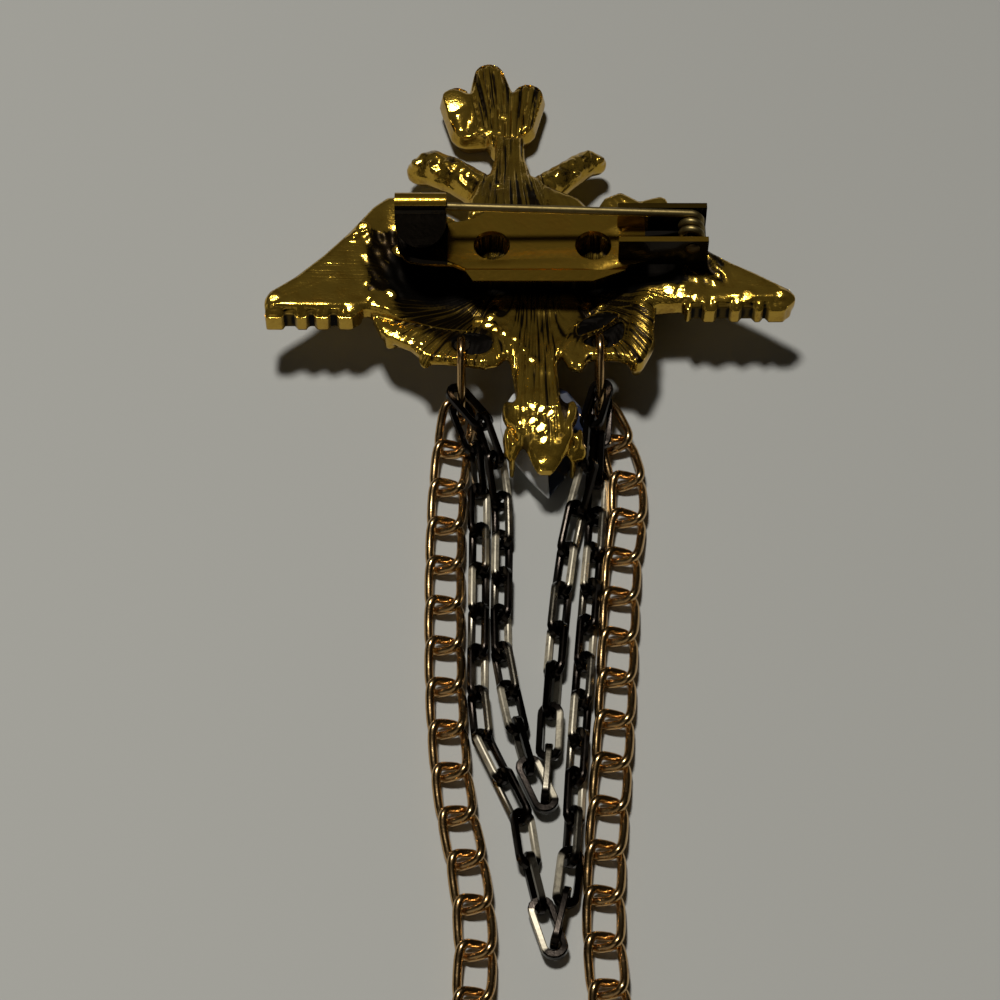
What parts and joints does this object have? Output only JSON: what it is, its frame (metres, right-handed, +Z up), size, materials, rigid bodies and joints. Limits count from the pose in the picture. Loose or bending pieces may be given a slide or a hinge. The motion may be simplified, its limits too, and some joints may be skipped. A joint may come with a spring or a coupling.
{
  "type": "eagle brooch",
  "caption": "Cast double-headed eagle brooch seen from its back, with a bar pin, a faceted drop crystal and three hanging chain loops of curb and cable links.",
  "frame": {"origin": "on the table under the middle of the object's box", "axes": "+X to the right as the picture shows it, +Y from the chains to the crown, +Z up out of the back of the brooch, which lies on its front"},
  "size_m": [0.052, 0.1155, 0.0145],
  "materials": {
    "antique_gilt": "antique gilt casting with dark patina in the grooves",
    "crystal": "clear faceted crystal with a foiled look",
    "bar_brass": "dull olive gilt stamping, worn brighter on its edges",
    "stem_metal": "drawn wire, lightly tarnished",
    "rose_gilt": "polished rose-gold plate",
    "black_plate": "glossy black plate, worn to a warm sheen on the flats"
  },
  "bodies": {
    "brooch": {"eagle_body": "antique_gilt", "tail_crystal": "crystal", "pin_bar": "bar_brass", "pin_rivet": "bar_brass", "left_ring": "rose_gilt", "right_ring": "rose_gilt", "gold_chain_left": "rose_gilt", "gold_chain_right": "rose_gilt", "black_chain_short": "black_plate", "black_chain_long": "black_plate"},
    "pin": {"pin_stem": "stem_metal"}
  },
  "joints": [
    {"name": "pin_swing", "type": "hinge", "parent": "brooch", "child": "pin", "pos_m": [0.01585, 0.029, 0.0109], "axis": [0, 1, 0], "range_deg": [0, 85]}
  ]
}
